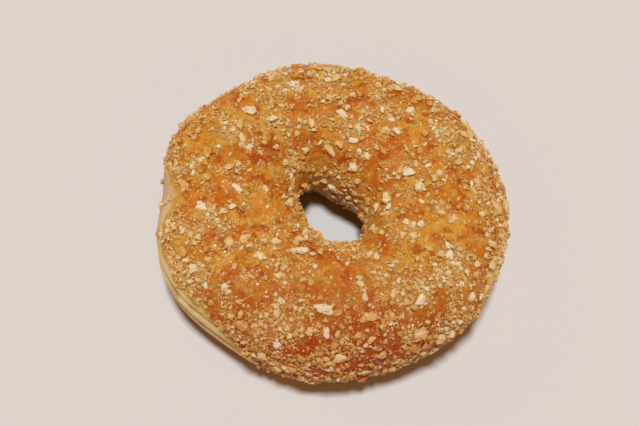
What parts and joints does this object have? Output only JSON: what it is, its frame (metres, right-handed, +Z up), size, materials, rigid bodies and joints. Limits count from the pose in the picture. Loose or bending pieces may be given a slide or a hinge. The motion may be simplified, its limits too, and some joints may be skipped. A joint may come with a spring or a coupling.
{
  "type": "crumb topped yeast doughnut",
  "caption": "Raised ring doughnut with a small oval hole, amber glaze and a coating of broken biscuit crumbs, with a pale creased waist left bare on one side.",
  "frame": {"origin": "on the surface that the doughnut rests on, under the middle of its bounding box", "axes": "+Z up through the hole, the glazed side up; the bare waist faces -X and -Y"},
  "size_m": [0.1016, 0.0964, 0.0352],
  "materials": {
    "glazed_crust": "amber sugar glaze, slightly wet, under cream and tan crumbs; pale dough at the bare waist"
  },
  "bodies": {
    "root": {"doughnut": "glazed_crust"}
  },
  "joints": []
}
